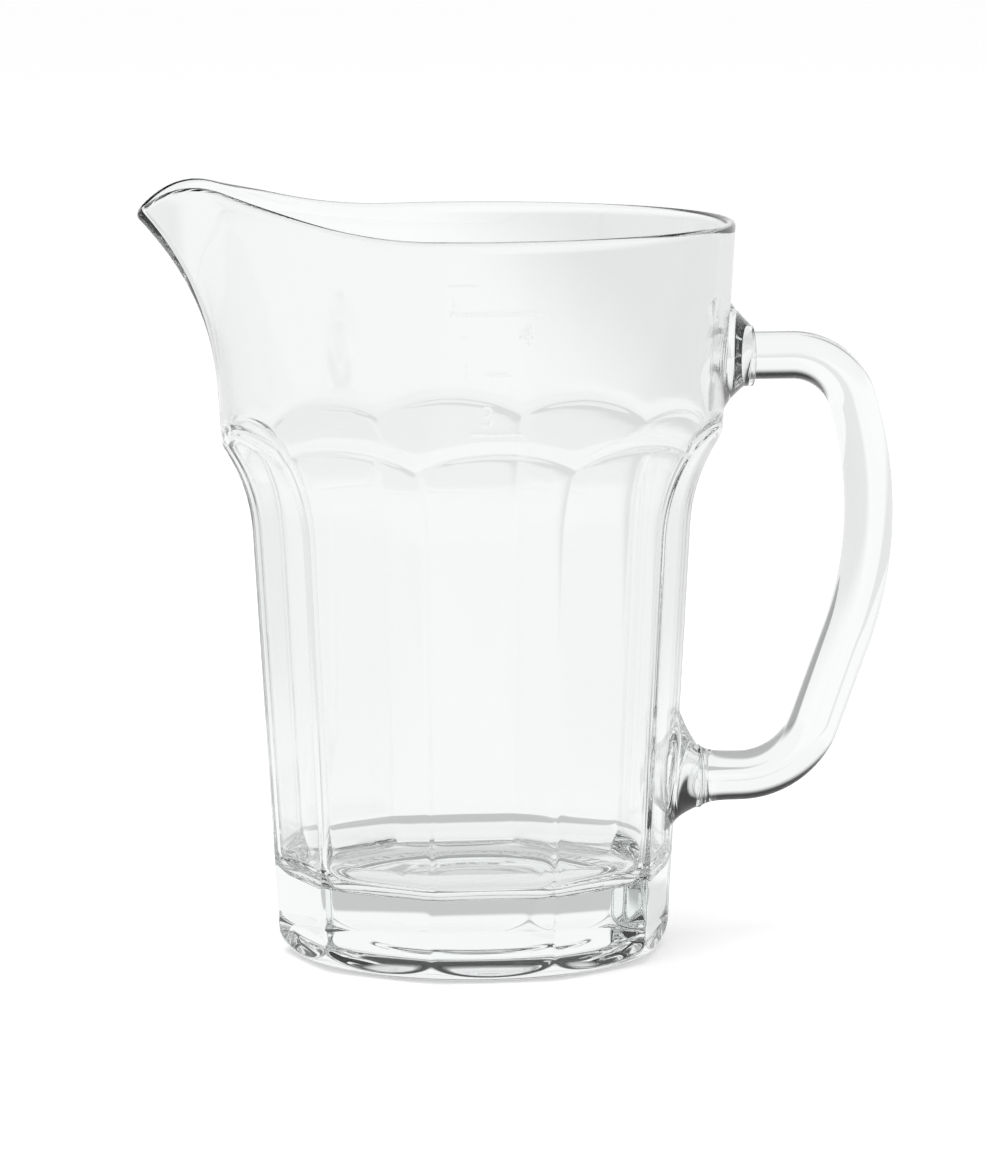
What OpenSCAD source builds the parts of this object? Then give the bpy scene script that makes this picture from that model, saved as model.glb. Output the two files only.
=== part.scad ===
// Beer pitcher of clear pressed glass: a panelled body with a beak spout and two bosses, and a round
// handle whose ends sit in the bosses. The handle points along +X, the spout along -X and +Z is up.
// Lengths from the axis are those of the round body; the origin is under the middle of the whole
// pitcher, from the spout's tip to the back of the handle, at table level.

/* [Body] */
// Height of the level part of the rim
rim_h = 216; // [205:1:230]
// Outer radius of the round wall at the level rim
rim_r = 77.5; // [75:0.5:82]
// Height of the tops of the arches, where the panels run out into the round wall
shoulder_h = 156; // [150:1:160]
// Outer radius of the round wall at the tops of the arches
shoulder_r = 73.8; // [72:0.2:75]
// Thickness of the wall at the middle of a panel and at the rim
wall = 2.8; // [2.2:0.1:3.4]
// Height of the inside floor over the table
floor_h = 23.5; // [18:0.5:30]
// Radius of the inside corner between floor and wall
floor_corner_r = 8; // [4:0.5:12]

/* [Panels] */
// Number of flat panels round the body
panels = 10; // [8:1:12]
// Distance from the axis to the middle of a panel, at the table
panel_low_r = 55; // [53:0.5:56.5]
// The same distance at the height where the panels start to bend outwards
panel_bend_r = 61.9; // [60:0.1:64]
// Height where the panels start to bend outwards
panel_bend_h = 126; // [115:1:132]

/* [Foot] */
// Outer radius of the foot
foot_r = 59; // [58.5:0.1:60]
// Radius of the rounded edge under the foot
foot_edge_r = 9.8; // [6:0.2:12]
// Width of the flat ring that the pitcher stands on
ring_w = 5.4; // [4:0.2:8]
// Depth of the hollow inside that ring
punt_depth = 5.4; // [2:0.2:6]
// Radius of the small disc in the middle of the hollow
gate_r = 21; // [15:1:28]
// Depth of that disc beyond the hollow
gate_depth = 0.8; // [0.4:0.1:1.5]

/* [Spout] */
// Distance of the tip from the axis
spout_reach = 97.5; // [94:0.5:102]
// Angle in plan between a side of the spout and the line from spout to handle
spout_side_angle = 48.8; // [44:0.2:54]
// Width of the blunt nose
nose_w = 4.1; // [3:0.1:6]
// Height where the spout leaves the wall
spout_low_h = 165; // [162:1:175]
// Depth that the lower end of the spout is sunk into the wall
spout_sink = 0.4; // [0.3:0.1:0.8]
// Height of the rim's two peaks beside the spout
peak_h = 227.7; // [224:0.5:232]
// Distance of the peaks from the axis, towards the spout
peak_x = 80.5; // [78:0.5:84]
// Radius of the rim's curve over the peaks
peak_curve_r = 17; // [14:0.5:22]
// Angle of the rim as it climbs to the peaks
climb_angle = 15.3; // [12:0.1:18]
// Angle of the rim as it falls to the tip
fall_angle = 40; // [30:1:46]
// Radius of the curve from the level rim into the climb
rim_sweep_r = 130; // [80:5:180]

/* [Handle] */
// Diameter of the round bar
bar_d = 14.6; // [12:0.2:16]
// Height of the bar's upper straight
bar_top_h = 175.3; // [172:0.5:178]
// Height of the bar's lower straight
bar_low_h = 50; // [46:0.5:56]
// Furthest distance of the bar's centre line from the axis
handle_reach = 118; // [112:0.5:125]
// Height of that furthest point
belly_h = 129; // [122:1:135]
// Radius of the long back of the handle
back_bend_r = 110; // [95:1:125]
// Angle from upright at which the back leaves its curve, above
upper_lean = 15; // [12:0.2:16]
// Angle from upright at which the back leaves its curve, below
lower_lean = 20.2; // [18:0.2:22]
// Radius of the upper bend
top_bend_r = 19; // [15:0.5:24]
// Radius of the lower bend
low_bend_r = 24; // [18:0.5:30]

/* [Bosses] */
// Distance of the upper boss's end face from the axis
top_boss_x = 83.2; // [82:0.2:86]
// Distance of the lower boss's end face from the axis
low_boss_x = 67.2; // [66:0.2:70]
// Radius of a boss's end face
boss_end_r = 9.2; // [8.8:0.1:10]
// Radius of the upper boss behind its tapered collar
collar_r = 10.2; // [9.8:0.1:11]
// Length of the upper boss's tapered collar
collar_l = 3.5; // [2:0.1:4]
// Length of the lower boss's straight end
low_end_l = 0.8; // [0.4:0.1:1.5]
// Angle between a boss's flare and its axis
flare_angle = 49; // [45:1:53]
// Depth of the seat that a bar end sits in
seat_depth = 1.6; // [1:0.1:2.4]
// Clearance round a bar end in its seat
seat_gap = 0.1; // [0.05:0.05:0.3]

/* [Marks] */
// Depth of the fill line's middle below the level rim
fill_drop = 20.5; // [16:0.5:30]
// Height of the lower line's middle above the tops of the arches
low_mark_rise = 5.2; // [4:0.2:16]
// Length of the fill line along the wall
fill_line_l = 27; // [15:1:40]
// Length of the lower line along the wall
low_line_l = 15; // [8:1:25]
// Width of the lines
mark_w = 1; // [0.6:0.1:2]
// Height that the lines stand proud of the wall
mark_t = 0.2; // [0.1:0.05:0.4]

/* [Hidden] */
$fn = 96;

// Distance of the body's axis from the origin, towards the spout
axis_offset = (handle_reach + bar_d / 2 - spout_reach) / 2;
// Overrun of cutting shapes past the faces that they cut
over = 5;
// Angle between neighbouring panels, and half of it
panel_step = 360 / panels;
half_step = panel_step / 2;
// How far the round wall and the panels lean out for each unit of height
wall_lean = (rim_r - shoulder_r) / (rim_h - shoulder_h);
panel_lean = (panel_bend_r - panel_low_r) / panel_bend_h;
// Top of the uncut wall, above the rim and its peaks
blank_h = max(peak_h, rim_h) + over;
// Radius that is clear of the whole part, for cutting shapes
clear_r = 2 * rim_r;
// Radius of the ring's inner edge, and of the hollow's top
ring_in_r = foot_r - foot_edge_r - ring_w;
punt_top_r = ring_in_r - punt_depth;
// Angle in plan between the spout's line and the square to one of its sides
side_square = 90 - spout_side_angle;
// How much further out the sides would meet than the blunt nose
nose_cut = nose_w / 2 / tan(spout_side_angle);
// Angle by which a bend runs on past the wall that it is cut into
overrun_a = 8;
// Steps in a rounded stretch of an outline
arc_steps = 12;
// Turn of the round blank's seam, clear of the ridges, the arches and the spout
seam_turn = 50;
// Widest radius of each boss's flare, inside the wall
top_flare_r = 2 * boss_end_r + wall;
low_flare_r = 3 * boss_end_r;

// Outer radius of the round wall, and distance of a panel from the axis, at height z
function wall_r(z) = shoulder_r + wall_lean * (z - shoulder_h);
function panel_r(z) = panel_low_r + panel_lean * z;

// Points of an arc about c from angle a0 to a1
function arc(c, r, a0, a1) =
    [for (i = [0:arc_steps]) let (a = a0 + (a1 - a0) * i / arc_steps) c + r * [cos(a), sin(a)]];
// Outward normal of a line that leans out by lean for each unit of height
function lean_normal(lean) = [1, -lean] / norm([1, lean]);
// Radius of the arc that leaves the line at p and passes through q
function cove_radius(p, q, lean) = (q - p) * (q - p) / (2 * (q - p) * lean_normal(lean));
function cove_centre(p, r, lean) = p + r * lean_normal(lean);

// Angle of point q as seen from c
function seen_angle(c, q) = atan2(q[1] - c[1], q[0] - c[0]);

// Everything outside a leaning line that bends outwards above p as far as q and is upright above
// that, as a long straight cutter whose face looks along +X
module cove_cutter(p, q, lean, low, half_l) {
    r = cove_radius(p, q, lean);
    c = cove_centre(p, r, lean);
    high = blank_h + over;
    rotate([90, 0, 0])
        translate([0, 0, -half_l])
            linear_extrude(height = 2 * half_l)
                polygon(concat(
                    [[p[0] - lean * (p[1] - low), low]],
                    arc(c, r, 180 - atan(lean), seen_angle(c, q)),
                    [[q[0], high], [clear_r, high], [clear_r, low]]));
}

// Flat-sided core that gives the round blank its panels: straight up, then bending outwards; inset
// moves its faces in for the hollow
panel_start = [panel_bend_r, panel_bend_h];
panel_end = [shoulder_r, shoulder_h];
bend_r = cove_radius(panel_start, panel_end, panel_lean);
bend_c = cove_centre(panel_start, bend_r, panel_lean);
bend_out_a = seen_angle(bend_c, panel_end) - overrun_a;
function core_line(inset) = let (r = bend_r + inset) concat(
    [[panel_r(-over) - inset * norm([1, panel_lean]), -over]],
    arc(bend_c, r, 180 - atan(panel_lean), bend_out_a),
    [[clear_r, bend_c[1] + r * sin(bend_out_a)], [clear_r, blank_h + 2 * over]]);
module panelled_core(inset) {
    side_line = core_line(inset);
    last = (len(side_line) - 1) * panels;
    polyhedron(
        points = [for (s = side_line, k = [0:panels - 1])
            let (ridge_r = s[0] / cos(half_step))
            [ridge_r * cos(k * panel_step), ridge_r * sin(k * panel_step), s[1]]],
        faces = concat(
            [[for (k = [0:panels - 1]) k], [for (k = [panels - 1:-1:0]) last + k]],
            [for (i = [0:panels:last - panels], k = [0:panels - 1])
                let (next = (k + 1) % panels)
                [i + k, i + panels + k, i + panels + next, i + next]]));
}
module panelled_blank() {
    intersection() {
        rotate([0, 0, seam_turn])
            rotate_extrude()
                polygon(concat(
                    [[0, 0]],
                    arc([foot_r - foot_edge_r, foot_edge_r], foot_edge_r, -90, 0),
                    [panel_end, [wall_r(blank_h), blank_h], [0, blank_h]]));
        panelled_core(0);
    }
}

// Hollow inside, one wall in from the panels and from the round wall, with a rounded corner at the
// floor that runs out into the panels
corner_z = floor_h + floor_corner_r;
corner_r = (panel_r(corner_z) - wall) / cos(half_step) + wall / 4;
module cavity() {
    top_z = blank_h + over;
    intersection() {
        rotate([0, 0, seam_turn])
            rotate_extrude()
                polygon(concat(
                    [[0, floor_h]],
                    arc([corner_r - floor_corner_r, corner_z], floor_corner_r, -90, 0),
                    [[wall_r(corner_z) - wall, corner_z], [wall_r(top_z) - wall, top_z],
                     [0, top_z]]));
        panelled_core(wall);
    }
}

// Height of the rim's curve, as an outline seen from the side; u runs from the axis to the spout
peak_c = [peak_x, peak_h - peak_curve_r];
climb_top = peak_c + peak_curve_r * [-sin(climb_angle), cos(climb_angle)];
climb_foot_u = climb_top[0] - (climb_top[1] - rim_h) / tan(climb_angle);
sweep_c = [climb_foot_u - rim_sweep_r * tan(climb_angle / 2), rim_h + rim_sweep_r];
fall_top = peak_c + peak_curve_r * [sin(fall_angle), cos(fall_angle)];
tip_h = fall_top[1] - (spout_reach - fall_top[0]) * tan(fall_angle);
fall_end = [clear_r, fall_top[1] - (clear_r - fall_top[0]) * tan(fall_angle)];
module below_rim() {
    rotate([90, 0, 180])
        translate([0, 0, -clear_r])
            linear_extrude(height = 2 * clear_r)
                polygon(concat(
                    [[-clear_r, -clear_r], [-clear_r, rim_h]],
                    arc(sweep_c, rim_sweep_r, -90, -90 + climb_angle),
                    arc(peak_c, peak_curve_r, 90 + climb_angle, 90 - fall_angle),
                    [fall_end, [clear_r, -clear_r]]));
}

// Beak of the spout: two straight sides and a blunt nose that lean out as they rise; inset makes
// the hollow of it
nose_low = [wall_r(spout_low_h) - spout_sink, spout_low_h];
nose_tip = [spout_reach, tip_h];
side_share = cos(side_square);
side_low = [(nose_low[0] + nose_cut) * side_share, spout_low_h];
side_tip = [(nose_tip[0] + nose_cut) * side_share, tip_h];
module beak(inset) {
    in = [inset, 0];
    block_w = spout_reach - ring_in_r + over;
    difference() {
        translate([-ring_in_r - block_w, -shoulder_r / 2, spout_low_h])
            cube([block_w, shoulder_r, blank_h - spout_low_h]);
        rotate([0, 0, 180])
            cove_cutter(nose_low - in, nose_tip - in, wall_lean, spout_low_h - over, clear_r);
        for (side = [-1, 1])
            rotate([0, 0, 180 + side * side_square])
                cove_cutter(side_low - in, side_tip - in, wall_lean * side_share,
                            spout_low_h - over, clear_r);
    }
}

// Boss for a bar end: flare out of the wall, then a collar that tapers to the end face
module boss(end_x, z, end_l, back_r, flare_r) {
    flare_l = (flare_r - back_r) / tan(flare_angle);
    translate([end_x - end_l - flare_l, 0, z])
        rotate([0, 90, 0])
            rotate_extrude()
                polygon([[0, 0], [flare_r, 0], [back_r, flare_l], [boss_end_r, flare_l + end_l],
                         [0, flare_l + end_l]]);
}

// Seat in a boss for a bar end
module seat(end_x, z) {
    translate([end_x - seat_depth, 0, z])
        rotate([0, 90, 0])
            cylinder(r = bar_d / 2 + seat_gap, h = seat_depth + over);
}

// Hollow under the floor inside the standing ring, with the small disc in its middle
module punt() {
    rotate_extrude()
        polygon([[0, -over], [ring_in_r + over, -over], [ring_in_r, 0], [punt_top_r, punt_depth],
                 [gate_r + gate_depth, punt_depth], [gate_r, punt_depth + gate_depth],
                 [0, punt_depth + gate_depth]]);
}

module body() {
    color("lightcyan")
        difference() {
            union() {
                intersection() {
                    union() {
                        panelled_blank();
                        beak(0);
                    }
                    below_rim();
                }
                boss(top_boss_x, bar_top_h, collar_l, collar_r, top_flare_r);
                boss(low_boss_x, bar_low_h, low_end_l, boss_end_r, low_flare_r);
            }
            cavity();
            beak(wall);
            punt();
            seat(top_boss_x, bar_top_h);
            seat(low_boss_x, bar_low_h);
        }
}

// Centre line of the handle, seen from the side: a straight, bend, straight, the long back, straight,
// bend, straight, all running smoothly into each other
back_c = [handle_reach - back_bend_r, belly_h];
back_top = back_c + back_bend_r * [cos(upper_lean), sin(upper_lean)];
back_low = back_c + back_bend_r * [cos(lower_lean), -sin(lower_lean)];
upper_l = (bar_top_h - top_bend_r * (1 - sin(upper_lean)) - back_top[1]) / cos(upper_lean);
lower_l = (back_low[1] - low_bend_r * (1 - sin(lower_lean)) - bar_low_h) / cos(lower_lean);
top_bend_c = back_top + upper_l * [-sin(upper_lean), cos(upper_lean)]
    - top_bend_r * [cos(upper_lean), sin(upper_lean)];
low_bend_c = back_low - lower_l * [sin(lower_lean), cos(lower_lean)]
    - low_bend_r * [cos(lower_lean), -sin(lower_lean)];

// Stations along that line, each a point and the angle that its outer side looks at
function station(c, r, a) = [c[0] + r * cos(a), c[1] + r * sin(a), a];
function stations(c, r, a0, a1, steps) =
    [for (i = [0:steps]) station(c, r, a0 + (a1 - a0) * i / steps)];
bend_steps = 16;
bar_sides = 40;
line = concat(
    [[top_boss_x - seat_depth, bar_top_h, 90]],
    stations(top_bend_c, top_bend_r, 90, upper_lean, bend_steps),
    stations(back_c, back_bend_r, upper_lean, -lower_lean, bend_steps),
    stations(low_bend_c, low_bend_r, -lower_lean, -90, bend_steps),
    [[low_boss_x - seat_depth, bar_low_h, -90]]);

// Round bar swept along the stations
module handle() {
    last = (len(line) - 1) * bar_sides;
    color("aliceblue")
        polyhedron(
            points = [for (s = line, k = [0:bar_sides - 1])
                let (turn = k * 360 / bar_sides, out = bar_d / 2 * cos(turn))
                [s[0] + out * cos(s[2]), bar_d / 2 * sin(turn), s[1] + out * sin(s[2])]],
            faces = concat(
                [[for (k = [bar_sides - 1:-1:0]) k], [for (k = [0:bar_sides - 1]) last + k]],
                [for (i = [0:bar_sides:last - bar_sides], k = [0:bar_sides - 1])
                    let (next = (k + 1) % bar_sides)
                    [i + k, i + next, i + bar_sides + next, i + bar_sides + k]]));
}

// One printed line on the round wall, halfway between spout and handle
module wall_line(z, l) {
    turn = l / wall_r(z) * 180 / PI;
    low = z - mark_w / 2;
    high = z + mark_w / 2;
    rotate([0, 0, -90 - turn / 2])
        rotate_extrude(angle = turn)
            polygon([[wall_r(low), low], [wall_r(low) + mark_t, low],
                     [wall_r(high) + mark_t, high], [wall_r(high), high]]);
}
module fill_marks() {
    color("white") {
        wall_line(rim_h - fill_drop, fill_line_l);
        wall_line(shoulder_h + low_mark_rise, low_line_l);
    }
}

translate([-axis_offset, 0, 0]) {
    body();
    handle();
    fill_marks();
}
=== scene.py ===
"""Clear pressed glass beer pitcher: its looks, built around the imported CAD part.

All sizes in the classes are millimetres, measured from the round body's axis: the handle points
along +X, the spout along -X, +Z is up and the pitcher stands on z = 0. Finished pieces are moved
so that the origin lies under the middle of the whole pitcher, as in the CAD part.
"""

from __future__ import annotations

import logging
import math
from dataclasses import dataclass, field
from enum import Enum
from typing import Any

import bmesh
import bpy
import numpy as np
from mathutils import Matrix, Vector

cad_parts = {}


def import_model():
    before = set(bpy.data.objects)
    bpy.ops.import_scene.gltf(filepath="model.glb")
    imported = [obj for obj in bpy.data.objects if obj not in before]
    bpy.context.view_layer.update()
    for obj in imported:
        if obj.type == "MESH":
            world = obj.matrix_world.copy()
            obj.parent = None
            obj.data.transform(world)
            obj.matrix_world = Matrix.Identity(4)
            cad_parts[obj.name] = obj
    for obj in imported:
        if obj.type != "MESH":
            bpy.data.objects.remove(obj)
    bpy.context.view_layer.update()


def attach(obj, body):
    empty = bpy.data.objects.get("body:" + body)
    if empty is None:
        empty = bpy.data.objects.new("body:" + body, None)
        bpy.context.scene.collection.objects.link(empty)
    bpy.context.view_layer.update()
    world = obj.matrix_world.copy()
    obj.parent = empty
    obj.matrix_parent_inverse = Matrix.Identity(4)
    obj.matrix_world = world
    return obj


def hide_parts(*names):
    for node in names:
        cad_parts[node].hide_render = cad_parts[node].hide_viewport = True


LOG = logging.getLogger("pitcher")
MM = 0.001
AXIS_X = -13.9
ROOT = "root"
SHARP_ANGLE = math.radians(48)
WELD = 1e-7
HALVINGS = 40
ARC_END = 0.999

Grid = np.ndarray
Steps = tuple[float, ...]
Piece = bpy.types.Object
Tree = bpy.types.NodeTree
Socket = bpy.types.NodeSocket


# ---- helpers


def linear(hex_colour: str) -> tuple[float, float, float, float]:
    """Turn an sRGB colour, written "#rrggbb", into linear RGBA with an alpha of 1."""
    parts = [int(hex_colour[i : i + 2], 16) / 255 for i in (1, 3, 5)]
    lin = [p / 12.92 if p <= 0.04045 else ((p + 0.055) / 1.055) ** 2.4 for p in parts]
    return (lin[0], lin[1], lin[2], 1.0)


def add_node(tree: Tree, kind: str, links: dict[Any, Any] | None = None,
             **settings: Any) -> bpy.types.Node:
    """Add a node with its settings, socket values and incoming links.

    Args:
        tree: Node tree to add to.
        kind: Blender's type name of the node.
        links: Input socket by name or index, to an output socket or a plain value.
        **settings: Properties of the node by name.

    Returns:
        The new node.
    """
    node = tree.nodes.new(kind)
    for name, value in settings.items():
        setattr(node, name, value)
    for socket, value in (links or {}).items():
        if isinstance(value, Socket):
            tree.links.new(value, node.inputs[socket])
        else:
            node.inputs[socket].default_value = value
    return node


class Op(Enum):
    """Operations of a maths node."""

    ADD = "ADD"
    SUBTRACT = "SUBTRACT"
    MULTIPLY = "MULTIPLY"
    DIVIDE = "DIVIDE"
    MULTIPLY_ADD = "MULTIPLY_ADD"
    MODULO = "MODULO"
    MAXIMUM = "MAXIMUM"
    ABSOLUTE = "ABSOLUTE"
    SINE = "SINE"
    COSINE = "COSINE"


def maths(tree: Tree, operation: Op, *values: Any) -> Socket:
    """Add a maths node with its values in order, and return its result."""
    return add_node(tree, "ShaderNodeMath", dict(enumerate(values)),
                    operation=operation.value).outputs[0]


def vector(tree: Tree, **parts: Any) -> Socket:
    """Put a vector together from its X, Y and Z, where each is a socket or a value."""
    return add_node(tree, "ShaderNodeCombineXYZ", parts).outputs[0]


def eased(tree: Tree, value: Socket, start: tuple[float, float],
          result: tuple[float, float]) -> Socket:
    """Turn a value that runs over a range into one that eases over another range."""
    return add_node(tree, "ShaderNodeMapRange",
                    {"Value": value, "From Min": start[0], "From Max": start[1],
                     "To Min": result[0], "To Max": result[1]},
                    interpolation_type="SMOOTHSTEP").outputs["Result"]


def bare_tree(owner: bpy.types.ID) -> Tree:
    """Switch a material or a world to nodes and return its emptied tree."""
    owner.use_nodes = True
    owner.node_tree.nodes.clear()
    return owner.node_tree


def show(name: str, data: bpy.types.ID) -> Piece:
    """Make an object of a mesh, text, lamp or camera and link it to the scene."""
    shown = bpy.data.objects.new(name, data)
    bpy.context.scene.collection.objects.link(shown)
    return shown


def smooth_min(a: Grid, b: Grid, blend: float) -> Grid:
    """Return the smaller of two surfaces, rounded over a width where they cross."""
    h = np.clip(0.5 + 0.5 * (b - a) / blend, 0.0, 1.0)
    return b * (1 - h) + a * h - blend * h * (1 - h)


def smooth_max(a: Grid, b: Grid, blend: float) -> Grid:
    """Return the larger of two surfaces, filleted over a width where they cross."""
    return -smooth_min(-a, -b, blend)


def crossing(low: Grid, high: Grid, above: Any) -> Grid:
    """Find where a test changes sign, by halving the interval.

    Args:
        low: Values at which above() is False.
        high: Values at which above() is True.
        above: Function from an array of values to an array of truth values.

    Returns:
        The values of the change, one for each entry.
    """
    low, high = low.astype(float).copy(), high.astype(float).copy()
    for _ in range(HALVINGS):
        mid = (low + high) / 2
        up = above(mid)
        high = np.where(up, mid, high)
        low = np.where(up, low, mid)
    return (low + high) / 2


def make_mesh(name: str, points: Grid, faces: list[tuple[int, ...]]) -> Piece:
    """Make a smooth mesh object of points in millimetres and faces anticlockwise outside."""
    mesh = bpy.data.meshes.new(name)
    mesh.from_pydata((np.asarray(points) * MM).tolist(), [], faces)
    mesh.validate()
    mesh.update()
    mesh.shade_smooth()
    return show(name, mesh)


def closed_rings(rings: list[Grid]) -> tuple[Grid, list[tuple[int, ...]]]:
    """Join equal rings of points into a closed skin with a fan over each end.

    Args:
        rings: Rings of points from one pole to the other. Faces look outwards where the rings
            climb and run anticlockwise as seen from above.

    Returns:
        The points, with the two poles last, and the faces.
    """
    count = len(rings[0])
    poles = [rings[0].mean(axis=0), rings[-1].mean(axis=0)]
    points = np.vstack(rings + [np.array(poles)])
    first, last = len(rings) * count, len(rings) * count + 1
    faces: list[tuple[int, ...]] = []
    for i in range(len(rings) - 1):
        base, up = i * count, (i + 1) * count
        for k in range(count):
            n = (k + 1) % count
            faces.append((base + k, base + n, up + n, up + k))
    top = (len(rings) - 1) * count
    for k in range(count):
        n = (k + 1) % count
        faces.append((first, n, k))
        faces.append((last, top + k, top + n))
    return points, faces


def flatten_modifiers(piece: Piece) -> Piece:
    """Apply a piece's modifiers; a piece that was no mesh comes back as a new object."""
    graph = bpy.context.evaluated_depsgraph_get()
    graph.update()
    mesh = bpy.data.meshes.new_from_object(piece.evaluated_get(graph), depsgraph=graph)
    mesh.name = piece.name
    if piece.type == "MESH":
        piece.modifiers.clear()
        piece.data = mesh
        return piece
    name = piece.name
    bpy.data.objects.remove(piece)
    return show(name, mesh)


def fuse(base: Piece, part: Piece) -> None:
    """Fuse a closed skin into another one and delete it."""
    step = base.modifiers.new("Union", "BOOLEAN")
    step.operation = "UNION"
    step.solver = "EXACT"
    step.object = part
    flatten_modifiers(base)
    bpy.data.objects.remove(part)


def soft_shade(piece: Piece) -> None:
    """Shade a piece smooth, with its real edges sharp."""
    piece.data.shade_smooth()
    piece.data.set_sharp_from_angle(angle=SHARP_ANGLE)


# ---- finishes


@dataclass(frozen=True)
class ClearPressedGlass:
    """Soda lime glass, pressed in a mould and fire polished.

    It is clear and almost colourless, with a faint grey-green in thick places, and its skin keeps
    the long shallow waves of the mould.
    """

    name: str = "clear_pressed_glass"
    tint: str = "#fbfcfc"
    depth_tint: str = "#dfe9e6"
    depth_density: float = 1.6
    ior: float = 1.52
    roughness: float = 0.0
    wave_length: float = 26.0
    wave_strength: float = 0.02

    def material(self) -> bpy.types.Material:
        """Build the glass with its waves as a bump and its body colour as absorption."""
        glass = bpy.data.materials.new(self.name)
        tree = bare_tree(glass)
        place = add_node(tree, "ShaderNodeTexCoord")
        waves = add_node(tree, "ShaderNodeTexNoise",
                         {"Vector": place.outputs["Object"], "Scale": 1 / (self.wave_length * MM),
                          "Detail": 1.0, "Roughness": 0.4}, noise_dimensions="3D")
        skin = add_node(tree, "ShaderNodeBump",
                        {"Height": waves.outputs["Fac"], "Strength": self.wave_strength,
                         "Distance": 1.0 * MM})
        shader = add_node(tree, "ShaderNodeBsdfPrincipled",
                          {"Base Color": linear(self.tint), "Roughness": self.roughness,
                           "IOR": self.ior, "Transmission Weight": 1.0,
                           "Normal": skin.outputs["Normal"]})
        depth = add_node(tree, "ShaderNodeVolumeAbsorption",
                         {"Color": linear(self.depth_tint), "Density": self.depth_density})
        add_node(tree, "ShaderNodeOutputMaterial",
                 {"Surface": shader.outputs["BSDF"], "Volume": depth.outputs["Volume"]})
        return glass


@dataclass(frozen=True)
class ClearGlassRod(ClearPressedGlass):
    """The same glass drawn as a rod: smoother, with waves that are longer and weaker."""

    name: str = "clear_glass_rod"
    wave_length: float = 40.0
    wave_strength: float = 0.012


@dataclass(frozen=True)
class FiredPrint:
    """Pale ceramic ink fired into the glass: matte, thin and a little uneven."""

    name: str = "fired_print"
    colour: str = "#f8f9f9"
    fade: str = "#fbfbfb"
    grain: float = 0.6
    roughness: float = 0.6

    def material(self) -> bpy.types.Material:
        """Build the print with a fine speckle where the ink lies thin."""
        ink = bpy.data.materials.new(self.name)
        tree = bare_tree(ink)
        place = add_node(tree, "ShaderNodeTexCoord")
        speckle = add_node(tree, "ShaderNodeTexNoise",
                           {"Vector": place.outputs["Object"], "Scale": 1 / (self.grain * MM),
                            "Detail": 2.0}, noise_dimensions="3D")
        colour = add_node(tree, "ShaderNodeMix",
                          {"Factor": speckle.outputs["Fac"], 6: linear(self.colour),
                           7: linear(self.fade)}, data_type="RGBA")
        shader = add_node(tree, "ShaderNodeBsdfPrincipled",
                          {"Base Color": colour.outputs[2], "Roughness": self.roughness})
        add_node(tree, "ShaderNodeOutputMaterial", {"Surface": shader.outputs["BSDF"]})
        return ink


# ---- body


@dataclass
class Cove:
    """Outline that follows a leaning line and then bends outwards along an arc."""

    start: tuple[float, float]
    through: tuple[float, float]
    lean: float
    radius: float = field(init=False)
    centre: tuple[float, float] = field(init=False)

    def __post_init__(self) -> None:
        """Work out the arc that leaves the line at start and passes through the second point."""
        normal = np.array([1.0, -self.lean]) / math.hypot(1.0, self.lean)
        chord = np.subtract(self.through, self.start)
        self.radius = float(chord @ chord / (2 * chord @ normal))
        self.centre = tuple(np.array(self.start) + self.radius * normal)

    def at(self, z: Grid, inset: float = 0.0) -> Grid:
        """Distance from the axis at heights z; far out past the top of the arc.

        Args:
            z: Heights.
            inset: Distance by which the outline is moved in, square to itself.

        Returns:
            The distance at each height.
        """
        slant = math.hypot(1.0, self.lean)
        radius = self.radius + inset
        line = self.start[0] + self.lean * (z - self.start[1]) - inset * slant
        rise = np.clip(z - self.centre[1], 0.0, radius * ARC_END)
        arc = self.centre[0] - np.sqrt(radius**2 - rise**2)
        return np.where(z <= self.start[1] + inset * self.lean / slant, line, arc)


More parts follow.
